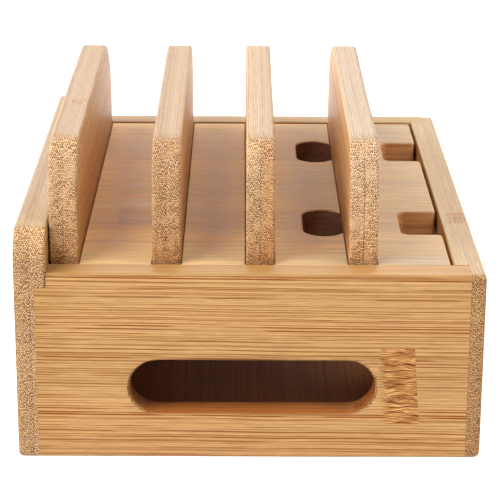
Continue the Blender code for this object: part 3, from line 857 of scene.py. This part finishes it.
lid = {
    "cornerRound": 0.0015,
    "edge": 0.0007,
    "farGap": 0.0007,           # more room at the far edge, where a broad shadow shows
    "holeSize": (0.0148, 0.031),
    "notchDepth": 0.0145,
    "notchLength": 0.027,
    "notchRound": 0.0035,
    "rowShares": (0.2543, 0.7623),
    "dividerShares": (0.0, 0.2551, 0.4884, 0.7449),
    "grooveDepth": 0.0025,
    "grooveGap": 0.0004,
    "grooveOverrun": 0.002,
    "holeTuck": 0.0003,         # how far a hole reaches under the divider beside it
    "screwRecess": 0.0003,
    "screwShares": (0.14, 0.5, 0.86),
    "arcSteps": 10,
    "holeSides": 24,
}
divider = {
    "thickness": 0.0098,
    "nearRound": 0.020,
    "farRound": 0.035,
    "edge": 0.0010,
    "footRound": 0.0005,
    "footEdge": 0.0002,
    "arcSteps": 24,
    "holeSides": 20,
}
screwHole = [(0.0033, -0.003), (0.0033, 0.0), (0.0018, 0.0018), (0.0018, 0.0085)]   # radius and height
pilotHole = [(0.0017, -0.004), (0.0017, 0.0128)]


def dividerLefts():
    width = lidHigh[0] - lidLow[0]
    return [lidLow[0] + share * width for share in lid["dividerShares"]]


def screwPlaces(left, height):
    # Three places along the middle of the divider whose left side is given
    near, far = span("divider_1")[0][1], span("divider_1")[1][1]
    return [(left + divider["thickness"] / 2, near + share * (far - near), height) for share in lid["screwShares"]]


def makeLid(look):
    length = lidHigh[1] - lidLow[1]
    rows = [lidLow[1] + share * length for share in look["rowShares"]]
    corner = look["cornerRound"]
    corners = [(lidLow[0], lidLow[1], corner), (lidHigh[0], lidLow[1], corner)]
    for row in rows:
        near, far = row - look["notchLength"] / 2, row + look["notchLength"] / 2
        floor = lidHigh[0] - look["notchDepth"]
        corners += [(lidHigh[0], near, corner), (floor, near, look["notchRound"]),
                    (floor, far, look["notchRound"]), (lidHigh[0], far, corner)]
    farEdge = lidHigh[1] - look["farGap"]
    corners += [(lidHigh[0], farEdge, corner), (lidLow[0], farEdge, corner)]
    edge = look["edge"]
    loops = [{"corners": corners, "front": [edge] * len(corners), "back": [edge] * len(corners)}]
    width, tall = look["holeSize"]
    right = dividerLefts()[3] + look["holeTuck"]
    for row in rows:
        loops.append({"corners": holeCorners(right - width, right, row - tall / 2, row + tall / 2),
                      "front": [edge] * 4, "back": [edge] * 4})
    board = makeBoard("lidBoard", loops, (0, 1, 2), lidLow[2], lidHigh[2], look["arcSteps"])
    over = look["grooveOverrun"]
    grooves = []
    for left in dividerLefts():
        low = left - look["grooveGap"] if left > lidLow[0] else left - over
        grooves.append(boxShape((low, lidLow[1] - over, lidHigh[2] - look["grooveDepth"]),
                                (left + divider["thickness"] + look["grooveGap"], lidHigh[1] + over,
                                 lidHigh[2] + over)))
    carve(board, grooves)
    carve(board, [turnedShape(place, screwHole, look["holeSides"]) for left in dividerLefts()
                  for place in screwPlaces(left, lidLow[2] + look["screwRecess"])])
    return board


def makeDivider(number, look):
    low, high = span("divider_%d" % number)
    foot = look["footRound"]
    corners = [(low[1], low[2], foot), (high[1], low[2], foot), (high[1], high[2], look["farRound"]),
               (low[1], high[2], look["nearRound"])]
    edges = [look["footEdge"]] + [look["edge"]] * 3
    loops = [{"corners": corners, "front": edges, "back": edges}]
    board = makeBoard("divider%d" % number, loops, (1, 2, 0), low[0], high[0], look["arcSteps"])
    carve(board, [turnedShape(place, pilotHole, look["holeSides"]) for place in screwPlaces(low[0], low[2])])
    return board


# Each board's own bamboo: where its pattern starts, then what differs from the bamboo above
# The top factors on the boards below are painted light: a sheen on most tops, a shade on some
sideBamboo = makeBamboo("sideBamboo", "y", "z", "x", shift=(0.02, 0.003, 0.0745),
                        endPale=(203, 167, 125), endWarm=(194, 154, 111), faintDots=0.85,
                        faceDrifts=[("along", -0.06, -0.1, (0.92, 0.86, 0.74))])
lowBamboo = makeBamboo("lowSideBamboo", "y", "z", "x", shift=(0.31, 0.009, -0.075), topTint=(0.9, 1.1, 1.65),
                       topStreak=0.18, endPale=(187, 149, 106), endWarm=(177, 137, 93), faintDots=0.85,
                       jointStrength=0.4, faceDrifts=[("along", 0.07, 0.1, (0.87, 0.9, 0.92))],
                       joints=[(-0.041, 0.064, 0.07, 0.0725, 0.0795, 0.006, 0.0)])
endBamboo = makeBamboo("nearEndBamboo", "x", "z", "y", shift=(0.0, 0.007, 0.0995), slope=0.01, wander=0.0009,
                       endPale=(180, 140, 98), endWarm=(170, 128, 84), topTint=(0.92, 0.91, 0.76), topStreak=0.9,
                       topSpecular=0.34, joints=[(0.0518, 0.0125, 0.0405, -0.11, -0.1, 0.0057, 0.08)],
                       faceDrifts=[("along", -0.05, -0.078, (0.93, 0.91, 0.88))],
                       # painted shade on the walls of the slot, darker and redder
                       cuts=[(-0.05, 0.05, 0.015, 0.037, (0.9, 0.56, 0.3))])
farBamboo = makeBamboo("farEndBamboo", "x", "z", "y", shift=(0.2, 0.004, -0.0995), topTint=(0.71, 0.82, 1.16),
                       faceDrifts=[("along", 0.0, 0.075, (1.13, 1.17, 1.0))],
                       # painted shade on the walls of the slot, darker and redder
                       cuts=[(-0.05, 0.05, 0.015, 0.037, (0.78, 0.52, 0.28))])
endShade = [("across", 0.085, 0.1, (0.85, 0.88, 0.95)), ("across", 0.085, 0.067, (1.13, 1.02, 0.92))]
# The dividers' side faces drift darker toward the lid, a painted shade (lighter there on divider 4, a painted light),
# and their tops carry painted sheen or shade
dividerTones = [
    {"topTint": (0.73, 0.87, 1.31), "jointStrength": 0.5, "pale": (188, 147, 97), "warm": (184, 142, 89),
     "pink": (187, 140, 94), "joints": [(-0.032, 0.104, 0.11, -0.0652, -0.06, 0.004, 0.0)],
     "faceDrifts": [("across", 0.1, 0.074, (0.93, 0.82, 0.7))]},
    {"topTint": (0.6, 0.68, 0.86), "endPale": (203, 162, 118), "endWarm": (194, 150, 105), "pale": (199, 157, 107),
     "warm": (195, 152, 99), "pink": (198, 150, 104), "specular": 0.4,
     "faceDrifts": [("across", 0.1, 0.074, (0.94, 0.85, 0.76))]},
    {"topTint": (0.77, 0.92, 1.33), "endPale": (211, 175, 131), "endWarm": (202, 162, 117),
     "endDrifts": endShade + [("through", 0.0033, 0.0036, (0.97, 0.86, 0.76))]},
    {"topTint": (0.76, 1.0, 1.56), "endPale": (217, 182, 141), "endWarm": (208, 170, 127), "endDot": (86, 34, 4),
     "pale": (192, 151, 103), "warm": (189, 147, 97), "pink": (192, 146, 103), "glueStrength": 0.5,
     "faceDrifts": [("across", 0.1, 0.074, (1.14, 1.09, 1.05))]},
]
for tones in dividerTones:
    tones.setdefault("specular", 0.25)
    tones.setdefault("topSpecular", tones["specular"])
    tones.setdefault("endDrifts", endShade)
    tones.update(lineRate=130.0, topStreak=0.6)
lidBamboo = makeBamboo("lidBamboo", "x", "y", "z", shift=(0.0, 0.0046, -0.0617), topStreak=0.12,
                       streakStrength=0.5, hairStrength=0.45, streakSpacing=0.0042, streakRadius=0.00042,
                       hairSpacing=0.0024, hairRadius=0.0003, fineStrength=0.16, bandWidth=0.0045,
                       wander=0.0004, fineWidth=0.0013, fineLength=0.025, streak=(150, 96, 52),
                       pale=(220, 172, 108), warm=(213, 163, 98), pink=(216, 163, 107), roughness=0.52,
                       jointStrength=0.3, joints=[(-0.041, -0.05, -0.028, 0.06, 0.068, 0.007, 0.0)],
                       specular=0.34, topSpecular=0.34, topTint=(1.0, 1.0, 1.0), dotStrength=0.3,
                       # painted shade on the walls of the holes beside the fourth divider, painted light on the walls
                       # of the notches
                       cuts=[(0.01, 0.045, -0.09, 0.09, (0.45, 0.35, 0.42)),
                             (0.05, 0.0685, -0.09, 0.09, (1.5, 1.26, 1.0))],
                       stripWidth=0.0226, stripContrast=0.02,
                       stripTints=[(0.0576, (0.99, 0.98, 1.0)), (0.035, (0.94, 0.93, 0.97)),
                                   (0.0124, (1.05, 1.06, 1.04)), (-0.0102, (1.0, 1.02, 0.96)),
                                   (-0.0328, (1.02, 1.03, 0.98)), (-0.0555, (0.94, 0.9, 0.95)),
                                   (-0.0781, (1.07, 1.1, 1.06)), (-0.1007, (1.08, 1.12, 1.02))],
                       # painted sheen: the lid turns greyer toward its right side; it also darkens toward its near and
                       # far ends
                       faceDrifts=[("along", 0.0, 0.06, (0.68, 0.78, 1.17)), ("across", 0.05, 0.09, (0.9, 0.96, 0.99)),
                                   ("across", -0.072, -0.092, (0.76, 0.83, 1.05))])
floorBamboo = makeBamboo("floorBamboo", "y", "x", "z", shift=(0.1, 0.0, 0.0), streakStrength=0.25, specular=0.18,
                         hairStrength=0.1, pale=(184, 124, 82), warm=(170, 110, 66), pink=(176, 114, 80),
                         topStreak=0.08, topTint=(1.0, 1.0, 1.0))
cleatBamboo = makeBamboo("cleatBamboo", "x", "z", "y", shift=(0.1, 0.0, 0.0))

settle(makeTallWall(tallWall), sideBamboo, "box", "tall_side_wall")
settle(makeLowWall(lowWall), lowBamboo, "box", "low_side_wall")
settle(makeEndWall("nearEndWall", endWall, nearLow[1], nearHigh[1]), endBamboo, "box",
       "near_end_wall")
settle(makeEndWall("farEndWall", endWall, -nearLow[1], -nearHigh[1]), farBamboo, "box",
       "far_end_wall")
print("box boards ready")

settle(makeLid(lid), lidBamboo, "lid", "lid_board")
for number in (1, 2, 3, 4):
    middle = dividerLefts()[number - 1] + divider["thickness"] / 2
    dividerBamboo = makeBamboo("dividerBamboo%d" % number, "y", "z", "x",
                               shift=(0.07 * number, 0.005 * number, -middle), **dividerTones[number - 1])
    settle(makeDivider(number, divider), dividerBamboo, "lid", "divider_%d" % number)
print("lid and dividers ready")


zinc = {
    "colour": (206, 203, 194),
    "grainRate": 1500,
    "roughness": (0.28, 0.42),
}


def steelMaterial():
    material, tree, shader, coordinate = startMaterial("zincSteel")
    shader.inputs["Base Color"].default_value = linear(zinc["colour"])
    shader.inputs["Metallic"].default_value = 1.0
    scale = addNode(tree, "ShaderNodeVectorMath", operation="SCALE")
    tree.links.new(coordinate["Object"], scale.inputs[0])
    scale.inputs["Scale"].default_value = zinc["grainRate"]
    rough = ease(tree, cloud(tree, scale.outputs[0])[0], 0.3, 0.7, *zinc["roughness"])
    tree.links.new(rough, shader.inputs["Roughness"])
    return material


def recolour(node, material):
    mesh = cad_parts[node].data
    mesh.materials.clear()
    mesh.materials.append(material)


recolour("floor_panel", floorBamboo)
recolour("near_lid_cleat", cleatBamboo)
recolour("far_lid_cleat", cleatBamboo)
steel = steelMaterial()
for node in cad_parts:
    if "screw" in node:
        recolour(node, steel)
print("floor, cleats and screws ready")
